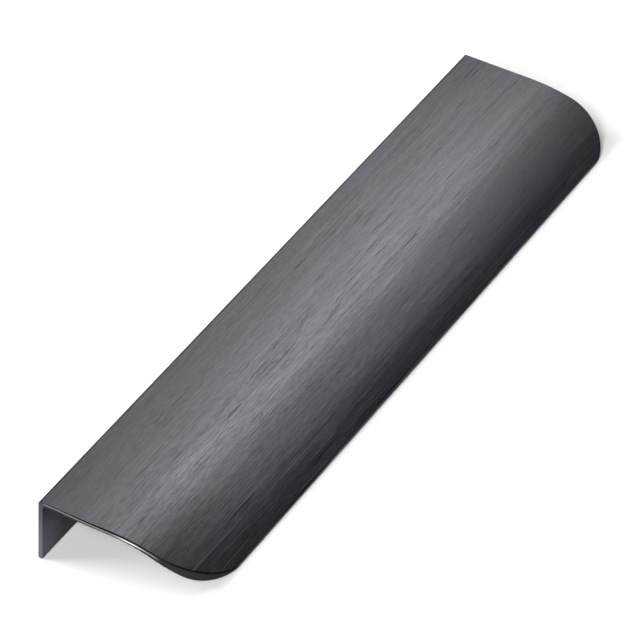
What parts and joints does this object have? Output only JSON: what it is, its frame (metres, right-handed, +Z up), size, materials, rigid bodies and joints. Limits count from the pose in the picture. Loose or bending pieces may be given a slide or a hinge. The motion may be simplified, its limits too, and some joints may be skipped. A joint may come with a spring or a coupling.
{
  "type": "handleless finger pull profile",
  "caption": "Length of thin aluminium edge-pull profile: a flat plate with a screw flange behind and a down-curved, thickened lip with rounded corners in front, brushed, dark anodised.",
  "frame": {"origin": "middle of the floor rectangle that the profile covers, standing on the flange's foot and the lip's lower edge", "axes": "+X along the profile, -Y to the lip, +Z up; the profile leans forward by 11.7 degrees, as it rests unheld"},
  "size_m": [0.2, 0.0458, 0.0167],
  "materials": {
    "dark_brushed_aluminium": "brushed along the length, then anodised dark grey"
  },
  "bodies": {
    "root": {"pull_profile": "dark_brushed_aluminium"}
  },
  "joints": []
}
